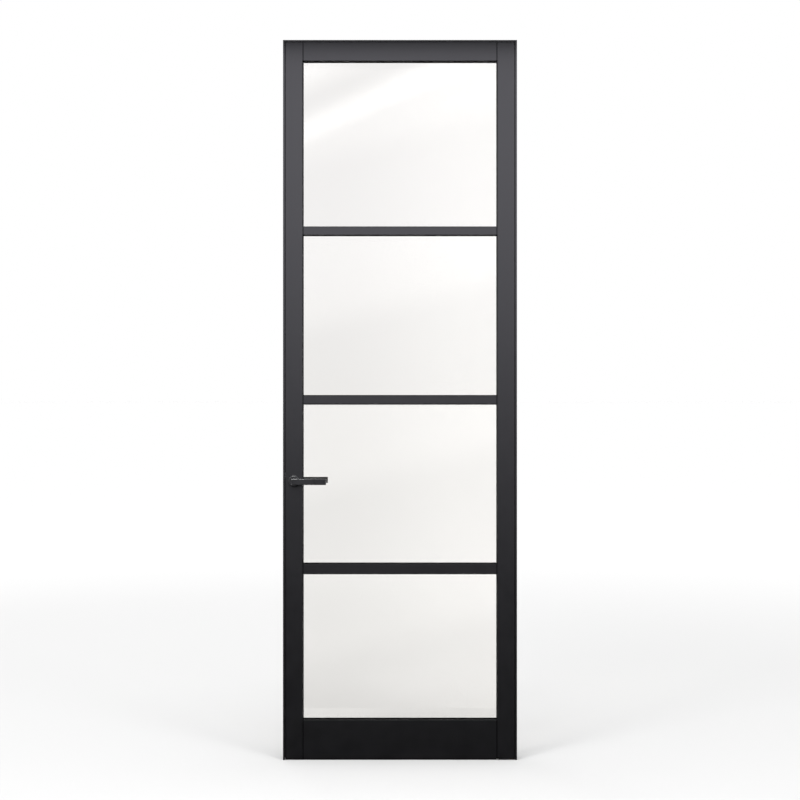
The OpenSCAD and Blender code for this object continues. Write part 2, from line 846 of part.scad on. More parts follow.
module glass(i) {
    color([0.86, 0.91, 0.9, 0.4]) pane(i);
}

module rubber_gasket(i) {
    color(rubber) gasket(i);
}

module timber_bead(i, side) {
    color(lacquer) bead(i, side);
}

module side_beads(i) {
    color(lacquer) {
        bead(i, 2);
        bead(i, 3);
    }
}

module top_bush() {
    color("#b49a57") bush(leaf_top - bush_l);
}

module bottom_bush() {
    color("#b49a57") bush(floor_gap);
}

// The lock and the lever set.

module lock_case() {
    w = case_wall;
    color("#8f9194") difference() {
        box([case_front, -case_t / 2 + w, case_lo], [case_back, case_t / 2, case_hi]);
        box([case_front + w, -case_t, case_lo + w], [case_back - w, case_t / 2 - w, case_hi - w]);
        box([case_front - 1, -case_t, latch_z - latch_h / 2 - latch_play],
            [case_front + w + 1, case_t / 2 - w, latch_z + latch_h / 2 + latch_play]);
        translate([spindle_x, case_t, lever_z]) rotate([90, 0, 0])
            cylinder(h = case_t, d = journal_d + 2 * journal_play);
    }
}

module lock_cover() {
    color("#9c9ea1") difference() {
        box([case_front, -case_t / 2, case_lo], [case_back, -case_t / 2 + case_wall, case_hi]);
        translate([spindle_x, 0, lever_z]) rotate([90, 0, 0])
            cylinder(h = case_t, d = journal_d + 2 * journal_play);
    }
}

module lock_faceplate() {
    color(steel) difference() {
        along_x(-leaf_x, case_front) plate_outline(0);
        box([-leaf_x - 1, -latch_t / 2 - latch_play, latch_z - latch_h / 2 - latch_play],
            [case_front + 1, latch_t / 2 + latch_play, latch_z + latch_h / 2 + latch_play]);
        for (z = plate_screw_z) {
            translate([-leaf_x, 0, z]) screw_hole(plate_t + 1);
        }
    }
}

module faceplate_screws() {
    color(steel) for (z = plate_screw_z) {
        translate([-leaf_x, 0, z]) screw(screw_l);
    }
}

module latch_bolt() {
    t = latch_t / 2;
    tip = -leaf_x - latch_out;
    color("#c2c4c7") difference() {
        union() {
            translate([0, 0, latch_z - latch_h / 2]) linear_extrude(latch_h)
                polygon([[tip, -t], [tip, -t / 2], [-leaf_x, t], [head_x, t], [head_x, -t]]);
            box([head_x - 1, -tail_t / 2, tail_lo], [fork_end, tail_t / 2, tail_hi]);
        }
        box([spindle_x - fork_w / 2, -tail_t, tail_lo - 1],
            [spindle_x + fork_w / 2, tail_t, lever_z + crank_r + drive_d / 2 + 1]);
    }
}

module latch_spring() {
    steps = 14 * spring_turns;
    x0 = head_x;
    x1 = case_back - case_wall;
    rings = [for (n = [0:steps]) spring_ring(n / steps, x0, x1)];
    points = [for (ring = rings, p = ring) p];
    sides = [
        for (n = [0:steps - 1], k = [0:5])
            [6 * n + k, 6 * n + (k + 1) % 6, 6 * n + 6 + (k + 1) % 6, 6 * n + 6 + k]
    ];
    caps = [[for (k = [5:-1:0]) k], [for (k = [0:5]) 6 * steps + k]];
    color("#a9abae") translate([0, 0, latch_z + 2]) polyhedron(points, concat(sides, caps));
}

module follower() {
    inner = case_t / 2 - case_wall - latch_play;
    s = spindle_s / 2 + fit;
    color("#a3a5a8") difference() {
        union() {
            along_y(-case_t / 2, case_t / 2) translate([spindle_x, lever_z]) circle(d = journal_d);
            along_y(-inner, inner) translate([spindle_x, lever_z]) circle(d = hub_d);
            along_y(tail_t / 2 + tail_gap, tail_t / 2 + tail_gap + crank_t)
                translate([spindle_x, lever_z]) {
                    translate([-drive_d / 2 - 1, 0]) square([drive_d + 2, crank_r]);
                    translate([0, crank_r]) circle(d = drive_d + 2);
                }
            along_y(-tail_t / 2 - 1, tail_t / 2 + 1) translate([spindle_x, lever_z + crank_r])
                circle(d = drive_d);
        }
        box([spindle_x - s, -case_t, lever_z - s], [spindle_x + s, case_t, lever_z + s]);
    }
}

module spindle() {
    s = spindle_s / 2;
    color("#8d8f92")
        box([spindle_x - s, -spindle_end, lever_z - s], [spindle_x + s, spindle_end, lever_z + s]);
}

module front_lever() {
    color("#2f2f32") lever();
}

module back_lever() {
    color("#2f2f32") mirror([0, 1, 0]) lever();
}

module grub_screws() {
    color("#3a3a3d") for (s = [-1, 1]) {
        translate([spindle_x, s * grub_y, lever_z - neck_d / 2 + 0.6]) difference() {
            cylinder(h = (neck_d - spindle_s) / 2 - 0.6, d = grub_d - 2 * fit);
            translate([0, 0, -1]) cylinder(h = 2.6, d = grub_d / 2, $fn = 6);
        }
    }
}

module front_rosette() {
    color("#343437") rosette();
}

module back_rosette() {
    color("#343437") mirror([0, 1, 0]) rosette();
}

lock_jamb();
pivot_jamb();
frame_head();
lock_stop();
pivot_stop();
head_stop();
stop_screws();
corner_keys();
lock_side_seal();
head_seal();
pivot_side_seal();
strike_plate();
strike_screws();
top_pivot_pin();
floor_pivot();
thrust_washer();
lock_stile();
pivot_stile();
top_rail();
bottom_rail();
upper_bar();
middle_bar();
lower_bar();
rail_dowels();
glass(0);  // pane_1
glass(1);  // pane_2
glass(2);  // pane_3
glass(3);  // pane_4
bottom_seal();
rubber_gasket(0);  // gasket_1
rubber_gasket(1);  // gasket_2
rubber_gasket(2);  // gasket_3
rubber_gasket(3);  // gasket_4
timber_bead(0, 0);  // bead_1_top
timber_bead(0, 1);  // bead_1_bottom
side_beads(0);  // bead_1_sides
timber_bead(1, 0);  // bead_2_top
timber_bead(1, 1);  // bead_2_bottom
side_beads(1);  // bead_2_sides
timber_bead(2, 0);  // bead_3_top
timber_bead(2, 1);  // bead_3_bottom
side_beads(2);  // bead_3_sides
timber_bead(3, 0);  // bead_4_top
timber_bead(3, 1);  // bead_4_bottom
side_beads(3);  // bead_4_sides
top_bush();
bottom_bush();
lock_case();
lock_cover();
lock_faceplate();
faceplate_screws();
latch_bolt();
latch_spring();
follower();
spindle();
front_lever();
back_lever();
grub_screws();
front_rosette();
back_rosette();
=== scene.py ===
# %% [markdown]
# # A glazed interior door
# The door's construction comes ready made: a leaf of stiles, rails and glazing bars, four panes, a lever
# set and a slim frame. This lesson gives each piece its finish, stands the door in a small photo studio and
# puts a camera where the photographer stood. Lengths are in metres, X runs along the doorway, Z up from the
# floor, and the leaf opens towards -Y, where the camera is.

# %% Load the frame
import json
import math

import bpy
import numpy as np
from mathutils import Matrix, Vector


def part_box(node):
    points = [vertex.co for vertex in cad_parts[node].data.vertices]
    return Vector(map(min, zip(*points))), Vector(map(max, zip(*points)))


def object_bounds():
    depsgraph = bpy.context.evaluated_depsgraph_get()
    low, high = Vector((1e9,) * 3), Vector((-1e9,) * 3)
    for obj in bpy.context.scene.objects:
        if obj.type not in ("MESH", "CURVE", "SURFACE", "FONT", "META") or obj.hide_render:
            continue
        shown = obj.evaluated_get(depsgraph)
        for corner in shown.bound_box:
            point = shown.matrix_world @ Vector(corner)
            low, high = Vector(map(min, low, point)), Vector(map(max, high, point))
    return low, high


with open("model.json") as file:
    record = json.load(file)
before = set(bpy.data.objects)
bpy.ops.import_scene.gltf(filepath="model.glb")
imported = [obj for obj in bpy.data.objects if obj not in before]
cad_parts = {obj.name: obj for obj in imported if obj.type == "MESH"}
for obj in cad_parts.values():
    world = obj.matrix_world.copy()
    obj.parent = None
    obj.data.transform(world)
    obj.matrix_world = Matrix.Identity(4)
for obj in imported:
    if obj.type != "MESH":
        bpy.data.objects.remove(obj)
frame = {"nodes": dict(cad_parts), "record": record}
nodes = frame["nodes"]
cad_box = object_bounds()
print("pieces:", len(nodes), "size:", [round(end - start, 4) for start, end in zip(*cad_box)])

# %% [markdown]
# ## The camera
# The picture is square on to the door: uprights stay upright, and the reveals show about as much above the
# middle as below it. At the top rail 9 mm shows of an edge that is 39 mm deep, counted through the glass,
# which puts the camera some 5.2 m away at half the door's height. The lens follows from how much of the
# picture the door fills.

# %% Camera
PICTURE = 800
DOOR_PIXELS = 720
CAMERA_AWAY = 5.2
SENSOR_MM = 36
low, high = cad_box
middle = (low.z + high.z) / 2
leaf_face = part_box("lock_stile")[0].y
picture_side = PICTURE * (high.z - low.z) / DOOR_PIXELS

camera_data = bpy.data.cameras.new("camera")
camera = bpy.data.objects.new("camera", camera_data)
bpy.context.scene.collection.objects.link(camera)
camera.location = (0, leaf_face - CAMERA_AWAY, middle)
camera.rotation_euler = (math.pi / 2, 0, 0)
camera_data.sensor_width = SENSOR_MM
camera_data.lens = SENSOR_MM * CAMERA_AWAY / picture_side
bpy.context.scene.camera = camera
bpy.context.scene.view_settings.view_transform = "Standard"
print("lens:", round(camera_data.lens, 2), "mm")

# %% [markdown]
# ## Shader maths in Python
# A finish is a net of small nodes, and drawing every sum as a node is slow to read. The first class wraps
# one output socket, so that a sum written in Python puts in the Math node by itself. The second class holds
# the net of one material, and its method add makes any other node: its type, its settings, then its sockets.


# %% Sockets that calculate
class Wire:
    """An output socket that takes part in sums: each operation adds one Math node."""

    def __init__(self, net, socket):
        self.net = net
        self.socket = socket

    def sum(self, operation, *values):
        return self.net.add("Math", {"operation": operation}, dict(enumerate(values)))

    def __add__(self, other):
        return self.sum("ADD", self, other)

    def __sub__(self, other):
        return self.sum("SUBTRACT", self, other)

    def __rsub__(self, other):
        return self.sum("SUBTRACT", other, self)

    def __mul__(self, other):
        return self.sum("MULTIPLY", self, other)

    __radd__ = __add__
    __rmul__ = __mul__

    def most(self, other):
        """The larger of two values."""
        return self.sum("MAXIMUM", self, other)

    def size(self):
        """The value without its sign."""
        return self.sum("ABSOLUTE", self)

    def over(self, limit):
        """1 where the value is above the limit, otherwise 0."""
        return self.sum("GREATER_THAN", self, limit)

    def part(self):
        """What is left of the value after its whole number."""
        return self.sum("FRACT", self)

    def step(self, start, end):
        """Rises smoothly from 0 at start to 1 at end."""
        return self.net.add("MapRange", {"interpolation_type": "SMOOTHSTEP"},
                            {"Value": self, "From Min": start, "From Max": end})

    def hump(self, centre, reach):
        """1 at a centre value, falling smoothly to 0 at a reach to either side."""
        return 1 - (self - centre).size().step(0, reach)


print("a socket can:", [name for name in vars(Wire) if not name.startswith("_")])


# %% Nets of nodes
class Finish:
    """The node net of a new material, or of one that is handed in, such as the world."""

    def __init__(self, name, owner=None):
        self.owner = owner or bpy.data.materials.new(name)
        self.owner.use_nodes = True
        self.tree = self.owner.node_tree
        self.tree.nodes.clear()

    def add(self, kind, settings=None, sockets=None, take=0):
        """Adds a node, sets it up, fills its sockets and gives the output to take from it."""
        node = self.tree.nodes.new("ShaderNode" + kind)
        for name, value in (settings or {}).items():
            setattr(node, name, value)
        for name, value in (sockets or {}).items():
            if isinstance(value, Wire):
                self.tree.links.new(value.socket, node.inputs[name])
            else:
                node.inputs[name].default_value = value
        return Wire(self, node.outputs[take]) if len(node.outputs) else node

    def place(self):
        """The place on the object, in metres."""
        return self.add("TexCoord", take="Object")

    def split(self, vector):
        """The three numbers of a vector."""
        return [self.add("SeparateXYZ", sockets={0: vector}, take=axis) for axis in "XYZ"]

    def shade(self, shader):
        """Ends the net in a shader."""
        end = "OutputWorld" if isinstance(self.owner, bpy.types.World) else "OutputMaterial"
        self.add(end, sockets={"Surface": shader})
        return self.owner


print("a net can:", [name for name in vars(Finish) if not name.startswith("_")])

# %% [markdown]
# ## The studio
# The photograph has a pure white surround. A white world seen by the camera, in reflections and through
# glass gives that without any extra light: other rays meet a much dimmer world, which is the soft fill. The
# floor is plain grey paint under a broad sun of its own, which lights nothing but the floor, so it turns dark
# where the door keeps that light off it. A small glow for the same rays makes up what is still missing to
# white, less near the door, where the lamps add their share.

# %% World
FILL = 0.42
WHITE = (1, 1, 1, 1)


def seen(net):
    """1 for rays from the camera, off gloss and through glass, otherwise 0."""
    kinds = ("Is Camera Ray", "Is Glossy Ray", "Is Transmission Ray")
    from_camera, off_gloss, through_glass = [net.add("LightPath", take=kind) for kind in kinds]
    return from_camera.most(off_gloss).most(through_glass)


def off_pane_back(net):
    """1 for rays that a pane's back has mirrored out through its front, otherwise 0."""
    through_glass = net.add("LightPath", take="Is Transmission Ray")
    mirrored = net.add("LightPath", take="Glossy Depth").over(0.5)
    return through_glass * mirrored


world = bpy.data.worlds.new("studio")
bpy.context.scene.world = world
net = Finish("studio", world)
net.shade(net.add("Background", sockets={"Color": WHITE, "Strength": FILL + (1 - FILL) * seen(net)}))
print("fill light:", FILL)


# %% Floor
def sheet(name, corner, along, across, cells=8):
    """A flat sheet: the corner plus u times one edge plus v times the other, u and v from 0 to 1."""
    u, v = np.meshgrid(np.linspace(0, 1, cells + 1), np.linspace(0, 1, cells + 1), indexing="ij")
    places = np.array(corner) + u[..., None] * np.array(along) + v[..., None] * np.array(across)
    first = (np.arange(cells)[:, None] * (cells + 1) + np.arange(cells)).ravel()
    faces = np.stack([first, first + cells + 1, first + cells + 2, first + 1], axis=1)
    mesh = bpy.data.meshes.new(name)
    mesh.from_pydata(places.reshape(-1, 3).tolist(), [], faces.tolist())
    piece = bpy.data.objects.new(name, mesh)
    bpy.context.scene.collection.objects.link(piece)
    return piece


FLOOR_GREY = 0.6
FLOOR_SUN = 0.83
LAMPS_NEAR = 0.36
LAMPS_REACH = (1.0, 7.0)
FLOOR_IN_PANES = 1.8
FLOOR_REACH = 1000.0
floor = sheet("floor", (-FLOOR_REACH, -FLOOR_REACH, 0), (2 * FLOOR_REACH, 0, 0), (0, 2 * FLOOR_REACH, 0))
net = Finish("floor_paint")
paint = net.add("BsdfDiffuse", sockets={"Color": (FLOOR_GREY, FLOOR_GREY, FLOOR_GREY, 1)})
away = net.add("VectorMath", {"operation": "LENGTH"}, {0: net.place()}, take="Value")
light = FILL + FLOOR_SUN + LAMPS_NEAR * (1 - away.step(*LAMPS_REACH))
# For rays that a pane's back has mirrored out, the floor glows brighter still: a painted reflection in the
# glass.
missing = (1 - FLOOR_GREY * light) * seen(net) + FLOOR_IN_PANES * off_pane_back(net)
glow = net.add("Emission", sockets={"Color": WHITE, "Strength": missing})
floor.data.materials.append(net.shade(net.add("AddShader", sockets={0: paint, 1: glow})))
print("floor:", len(floor.data.polygons), "faces")

# %% Sun for the floor
SUN_TILT = math.radians(10)
SUN_SPREAD = math.radians(40)
sun_data = bpy.data.lights.new("floor_sun", "SUN")
sun_data.energy = math.pi * FLOOR_SUN / math.cos(SUN_TILT)
sun_data.angle = SUN_SPREAD
sun = bpy.data.objects.new("floor_sun", sun_data)
sun.rotation_euler = (SUN_TILT, 0, 0)
bpy.context.scene.collection.objects.link(sun)
lit_by_sun = bpy.data.collections.new("lit_by_sun")
lit_by_sun.objects.link(floor)
sun.light_linking.receiver_collection = lit_by_sun
print("sun strength:", round(sun_data.energy, 2))

# %% [markdown]
# ## What the lacquer mirrors
# Black lacquer has hardly any colour of its own: what shows is what it mirrors. In the photograph the leaf
# fades from dark grey near its top to near black at its foot, and the last few centimetres under its top
# edge turn dark again. Cards do that here, as a photographer would set them up, and they show in reflections
# only: a black cloth on the floor, a narrow black flag over the door, and a wall behind the camera that is
# brighter higher up. The wall's brightness is a base plus a few smooth rises, and goes over to white far out.


# %% Cloth and flag
def only_for(piece, *rays):
    """Lets a card show to some kinds of rays and to no others."""
    for ray in ("camera", "diffuse", "glossy", "transmission", "shadow"):
        setattr(piece, "visible_" + ray, ray in rays)
    return piece


CLOTH_COLOUR = (0.01, 0.01, 0.01, 1)
CLOTH_HALF = 10.0
CLOTH_DEEP = 6.4
CLOTH_LIFT = 0.0005
FLAG_HALF = 0.7
FLAG_FRONT = -0.19
FLAG_DEEP = 0.17
FLAG_Z = 2.625
net = Finish("black_cloth")
black_cloth = net.shade(net.add("BsdfDiffuse", sockets={"Color": CLOTH_COLOUR}))
cloth = sheet("cloth", (-CLOTH_HALF, -CLOTH_DEEP, CLOTH_LIFT), (2 * CLOTH_HALF, 0, 0), (0, CLOTH_DEEP, 0))
flag = sheet("flag", (-FLAG_HALF, FLAG_FRONT, FLAG_Z), (2 * FLAG_HALF, 0, 0), (0, FLAG_DEEP, 0))
only_for(cloth, "glossy")
only_for(flag, "glossy", "shadow")
for card in (cloth, flag):
    card.data.materials.append(black_cloth)
print("black cards:", cloth.name, flag.name)

# %% Light wall
COOL_WHITE = (0.985, 0.97, 1.07, 1)
WALL_AWAY = 6.5
WALL_HALF = 8.0
WALL_FOOT = -0.5
WALL_TALL = 12.5
WALL_BASE = 0.24
# Each rise: how much it adds, the height where it starts and the height where it is complete.
WALL_RISES = ((1.46, 0.42, 2.6), (0.77, 1.8, 2.9), (-0.23, 3.2, 4.2))
WALL_FADE_ACROSS = (2.5, 8.0)
WALL_FADE_UP = (6.0, 12.0)
wall_corner = (-WALL_HALF, -WALL_AWAY, WALL_FOOT)
light_wall = sheet("light_wall", wall_corner, (2 * WALL_HALF, 0, 0), (0, 0, WALL_TALL))
only_for(light_wall, "glossy")
net = Finish("light_wall_glow")
across, _, upward = net.split(net.place())
brighter = WALL_BASE
for gain, start, end in WALL_RISES:
    brighter = brighter + gain * upward.step(start, end)
fade = across.size().step(*WALL_FADE_ACROSS).most(upward.step(*WALL_FADE_UP))
strength = fade + (1 - fade) * brighter
glow = net.add("Emission", sockets={"Color": COOL_WHITE, "Strength": strength})
light_wall.data.materials.append(net.shade(glow))
print("light wall:", WALL_AWAY, "m away")

# %% [markdown]
# ## What the glass mirrors
# Each pane in the photograph is a little grey at its lower left and whiter along its top and right, and the
# top pane carries one bright slanting streak: soft reflections of a room. A pane mirrors at its front and
# again at its back. Rays from the back come out through the glass, so they can be told from those off the
# lacquer: they have been through glass and off a mirror. A card in front of the door that only such rays
# meet can carry the pattern and leave the lacquer alone. For all other rays it is clear.

# %% Pane card
CARD_AWAY = 0.85
CARD_HALF = 2.4
CARD_LIFT = 0.001
CARD_TALL = 5.0
grow = (CAMERA_AWAY + CARD_AWAY + leaf_face) / CAMERA_AWAY
pane_boxes = [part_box(f"pane_{i}") for i in (1, 2, 3, 4)]
bar_heights = [(upper[0].z + lower[1].z) / 2 for upper, lower in zip(pane_boxes, pane_boxes[1:])]
pitch = (bar_heights[0] - bar_heights[2]) / 2
half_wide = pane_boxes[0][1].x
pane_card = sheet("pane_card", (-CARD_HALF, -CARD_AWAY, CARD_LIFT), (2 * CARD_HALF, 0, 0), (0, 0, CARD_TALL))
only_for(pane_card, "transmission")
print("pane card: bars", [round(z, 4) for z in bar_heights], "pitch", round(pitch, 4))

# %% [markdown]
# The pattern is written in the panes' own measures: u runs from 0 to 1 across a pane, row counts panes up
# from the middle bar, and v is the part of a row above its bar. The sheen starts at a slanting line in each
# pane, another grows to the right, and an even share is stronger in the lower rows. The streaks are humps
# over a steeper slant through the top pane, one of them dark.

# %% Pattern in the panes
TOP_ROW = 1
LOWEST_ROW = -2
WHOLE_ROWS = 4
SHEEN = 1.7
SHEEN_SLANT = 0.3
SHEEN_RISE = (0.30, 0.55)
SHEEN_END = (0.95, 1.0)
RIGHT_SHEEN = 3.1
RIGHT_RISE = (0.1, 1.0)
EVEN_BASE = 1.2
EVEN_FALL = 0.35
STREAK_SLANT = 0.53
# Each streak: its strength, its middle and its reach up the slant.
STREAKS = ((3.2, 0.585, 0.12), (-1.9, 0.755, 0.11), (3.0, 0.97, 0.14))
CARD_FADE_ACROSS = (0.7, 2.8)
CARD_FADE_UP = (2.0, 3.5)
net = Finish("pane_card_glow")
across, _, upward = net.split(net.place())
u = (across * (1 / (half_wide * grow)) + 1) * 0.5
row = (upward - middle) * (1 / (pitch * grow)) - (bar_heights[1] - middle) / pitch
v = (row + WHOLE_ROWS).part()
sheen = SHEEN * (v - SHEEN_SLANT * u).step(*SHEEN_RISE) * (1 - v.step(*SHEEN_END))
pattern = (EVEN_BASE - EVEN_FALL * (row - LOWEST_ROW)).most(0) + sheen + RIGHT_SHEEN * u.step(*RIGHT_RISE)
steep = row - TOP_ROW - STREAK_SLANT * u
for gain, centre, reach in STREAKS:
    pattern = pattern + gain * steep.hump(centre, reach)
fade = (u - 0.5).size().step(*CARD_FADE_ACROSS).most(row.step(*CARD_FADE_UP))
strength = fade + (1 - fade) * pattern.most(0)
glow = net.add("Emission", sockets={"Color": WHITE, "Strength": strength})
clear = net.add("BsdfTransparent", sockets={"Color": WHITE})
shown = net.add("MixShader", sockets={0: off_pane_back(net), 1: clear, 2: glow})
pane_card.data.materials.append(net.shade(shown))
print("pattern:", len(net.tree.nodes), "nodes")


# %% [markdown]
# ## Lamps
# Two tall soft boxes, left and right of the camera and above the door, light the leaf evenly, and a third
# does the same for its back. Their power is set so that with the fill a mid grey comes out as it is written,
# and they stay out of reflections, where the cards do the work. A fourth, small one shows in reflections but
# lights the lever and its rosette alone: it draws the bright line along their upper edges.

# %% Soft boxes
def soft_box(name, place, aim, size, watts, mirrored=False):
    """An oblong lamp at a place, turned to face a point."""
    data = bpy.data.lights.new(name, "AREA")
    data.shape = "RECTANGLE"
    data.size, data.size_y = size
    data.energy = watts
    lamp = bpy.data.objects.new(name, data)
    bpy.context.scene.collection.objects.link(lamp)
    lamp.location = place
    lamp.rotation_euler = (Vector(aim) - Vector(place)).to_track_quat("-Z", "Y").to_euler()
    lamp.visible_camera = False
    lamp.visible_transmission = False
    lamp.visible_glossy = mirrored
    return lamp


BOX_SIZE = (0.9, 1.6)
FRONT_AIM = (0, 0, 1.9)
BACK_AIM = (0, 0, 1.4)
LEVER_BOX_SIZE = (0.08, 0.12)
LEVER_AIM = (-0.38, -0.06, 1.02)
left_box = soft_box("left_box", (-1.7, -2.2, 3.3), FRONT_AIM, BOX_SIZE, watts=45)
right_box = soft_box("right_box", (1.7, -2.2, 3.3), FRONT_AIM, BOX_SIZE, watts=32)
back_box = soft_box("back_box", (-1.4, 2.6, 2.9), BACK_AIM, BOX_SIZE, watts=12)
lever_box = soft_box("lever_box", (-0.41, -0.2, 1.2), LEVER_AIM, LEVER_BOX_SIZE, watts=1.5, mirrored=True)
lit_by_lever_box = bpy.data.collections.new("lit_by_lever_box")
for name in ("front_lever", "front_rosette"):
    lit_by_lever_box.objects.link(nodes[name])
lever_box.light_linking.receiver_collection = lit_by_lever_box
print("lamps:", [lamp.name for lamp in (left_box, right_box, back_box, lever_box)])


# %% [markdown]
# ## Patterns that the finishes share
# Most finishes here are made of the same few ingredients: a noise, sometimes stretched into streaks along
# one direction, a colour that goes over into another, and a bump with a depth in metres.

# %% Noise, mix and bump
def noise(net, scale, detail=2.0, stretch=(1, 1, 1)):
    """A noise with so many lumps per metre, drawn out along the axes whose stretch is small."""
    at = net.add("Mapping", sockets={"Vector": net.place(), "Scale": stretch})
    return net.add("TexNoise", sockets={"Vector": at, "Scale": scale, "Detail": detail}, take="Fac")


def mix(net, share, first, second):
    """One colour going over into another; a Mix node has its colours at inputs 6 and 7, and output 2."""
    return net.add("Mix", {"data_type": "RGBA"}, {0: share, 6: first + (1,), 7: second + (1,)}, take=2)


def dent(net, height, depth, under=None):
    """A bump: the height pattern times a depth in metres, over another bump if there is one."""
    sockets = {"Height": height, "Distance": depth}
    if under is not None:
        sockets["Normal"] = under
    return net.add("Bump", sockets=sockets)


print("ingredients:", noise.__name__, mix.__name__, dent.__name__)

# %% [markdown]
# ## The black lacquer
# Sprayed satin lacquer over timber: near black and faintly blue. The coat levels out almost flat, but it
# keeps the fine dimple of the spray gun, and the wood's long grain telegraphs through it as soft streaks
# along each member. The grain runs up the stiles and along the rails, so there are two versions of one
# finish. The narrow edges around the glass and the grooves of the joints carry painted shade: a second
# shader takes over there, rougher and mirroring far less, and the normal and the depth under the leaf's
# face say where. By the lever, hands have rubbed the coat a little smoother.

# %% Lacquer values
COAT_MIRROR = 0.65
LACQUER_DARK = (0.001, 0.001, 0.0012)
LACQUER_LIT = (0.003, 0.003, 0.0034)
LACQUER_ROUGH = 0.33
# Painted shade: the joint grooves and the narrow edges around the glass get a rougher coat that mirrors far
# less.
SHADE_ROUGH = 0.7
SHADE_MIRROR = 0.1
SHADE_SHARE = 0.9
GRAIN_SCALE = 260.0
GRAIN_STRETCH = 0.02
GRAIN_DEPTH = 0.00003
DIMPLE_SCALE = 700.0
DIMPLE_DEPTH = 0.00002
MOTTLE_SCALE = 22.0
SUNK_FROM = 0.002
SUNK_TO = 0.004
HAND = (-0.37, leaf_face, 1.0)
HAND_REACH = (0.06, 0.24)
leaf_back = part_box("lock_stile")[1].y
leaf_middle = (leaf_face + leaf_back) / 2
half_leaf = (leaf_back - leaf_face) / 2
print("leaf:", round(2 * half_leaf, 4), "m thick")


# %% Lacquer
def lacquer(name, along):
    """Satin black: grain along one axis, dimples, mottle, painted shade where narrow or sunk, smoother by the
    lever.
    """
    net = Finish(name)
    stretch = [1.0, 1.0, 1.0]
    stretch[along] = GRAIN_STRETCH
    streaks = noise(net, GRAIN_SCALE, 4.0, stretch)
    mottle = noise(net, MOTTLE_SCALE)
    sideways = 1 - net.split(net.add("TexCoord", take="Normal"))[1].size().step(0.2, 0.6)
    off_middle = (net.split(net.place())[1] - leaf_middle).size()
    sunk = 1 - off_middle.step(half_leaf - SUNK_TO, half_leaf - SUNK_FROM)
    away = net.add("VectorMath", {"operation": "DISTANCE"}, {0: net.place(), 1: HAND}, take="Value")
    handled = mottle.step(0.35, 0.65) * (1 - away.step(*HAND_REACH))
    share = (0.6 * mottle + 0.4 * streaks).step(0.3, 0.7)
    colour = mix(net, share, LACQUER_DARK, LACQUER_LIT)
    rough = LACQUER_ROUGH + 0.05 * mottle + 0.04 * streaks - 0.04 * handled
    normal = dent(net, noise(net, DIMPLE_SCALE, 1.0), DIMPLE_DEPTH, dent(net, streaks, GRAIN_DEPTH))
    full = net.add("BsdfPrincipled", sockets={
        "Base Color": colour, "Roughness": rough,
        "Specular IOR Level": COAT_MIRROR, "Normal": normal})
    # Painted shade in the joint grooves and on the narrow edges around the glass: this coat mirrors far less.
    shaded_coat = net.add("BsdfPrincipled", sockets={
        "Base Color": colour, "Roughness": SHADE_ROUGH + 0.1 * mottle,
        "Specular IOR Level": SHADE_MIRROR, "Normal": normal})
    return net.shade(net.add("MixShader", sockets={0: SHADE_SHARE * sideways.most(sunk), 1: full, 2: shaded_coat}))


X_AXIS = 0
Z_AXIS = 2
upright_lacquer = lacquer("upright_lacquer", Z_AXIS)
level_lacquer = lacquer("level_lacquer", X_AXIS)
print("lacquer:", upright_lacquer.name, level_lacquer.name)

# %% [markdown]
# ## Powder coats
# The frame's aluminium sections and the lever set are powder coated: the powder melts into a skin of small
# rounded pebbles, coarser on the frame than on the lever. Cells from a Voronoi pattern, rounded off by its
# smooth version, are close to that. Where hands hold the lever the pebbles are rubbed smoother and a little
# brighter.

# %% Powder coat
PEBBLE_ROUNDING = 0.6
PEBBLE_DEPTH = 0.00003


def powder(name, dark, lit, pebbles, rough, mirror=0.5, hold=None):
    """Rounded pebbles, so many per metre, over a slow mottle; hold is a grip's middle and reach along X."""
    net = Finish(name)
    cells = net.add("TexVoronoi", {"feature": "SMOOTH_F1"},
                    {"Vector": net.place(), "Scale": pebbles, "Smoothness": PEBBLE_ROUNDING})
    mottle = noise(net, 40.0, 3.0)
    held = 0.0
    if hold:
        held = net.split(net.place())[0].hump(*hold) * noise(net, 60.0, 2.0).step(0.1, 0.9)
    colour = mix(net, (0.7 * mottle + 0.3 * cells + 0.12 * held).step(0.2, 0.8), dark, lit)
    gloss = rough + 0.06 * mottle + 0.05 * cells - 0.05 * held
    return net.shade(net.add("BsdfPrincipled", sockets={
        "Base Color": colour, "Roughness": gloss, "Specular IOR Level": mirror,
        "Normal": dent(net, cells, PEBBLE_DEPTH)}))


frame_coat = powder("frame_coat", (0.0055, 0.0055, 0.006), (0.0095, 0.0095, 0.01),
                    pebbles=900.0, rough=0.28, mirror=COAT_MIRROR)
lever_coat = powder("lever_coat", (0.003, 0.003, 0.0033), (0.006, 0.006, 0.0065),
                    pebbles=1500.0, rough=0.26, hold=(-0.31, 0.07))
print("powder coats:", frame_coat.name, lever_coat.name)

# %% [markdown]
# ## Rubber
# Gaskets and seals are extruded black rubber: dull, drawn into very fine lines by the die, with a greyish
# bloom here and there. It mirrors much less than lacquer does.

# %% Rubber
RUBBER_BLACK = (0.0015, 0.0015, 0.0015)
RUBBER_BLOOM = (0.004, 0.004, 0.004)
RUBBER_MIRROR = 0.03
DIE_LINES = 1400.0
DIE_DEPTH = 0.00002
net = Finish("rubber")
bloom = noise(net, 35.0, 4.0).step(0.45, 0.75)
lines = noise(net, DIE_LINES, 2.0, (0.03, 1, 1)) * noise(net, DIE_LINES, 2.0, (1, 1, 0.03))
rubber = net.shade(net.add("BsdfPrincipled", sockets={
    "Base Color": mix(net, bloom, RUBBER_BLACK, RUBBER_BLOOM), "Roughness": 0.75 + 0.14 * bloom,
    "Specular IOR Level": RUBBER_MIRROR, "Normal": dent(net, lines, DIE_DEPTH)}))
print("rubber:", rubber.name)

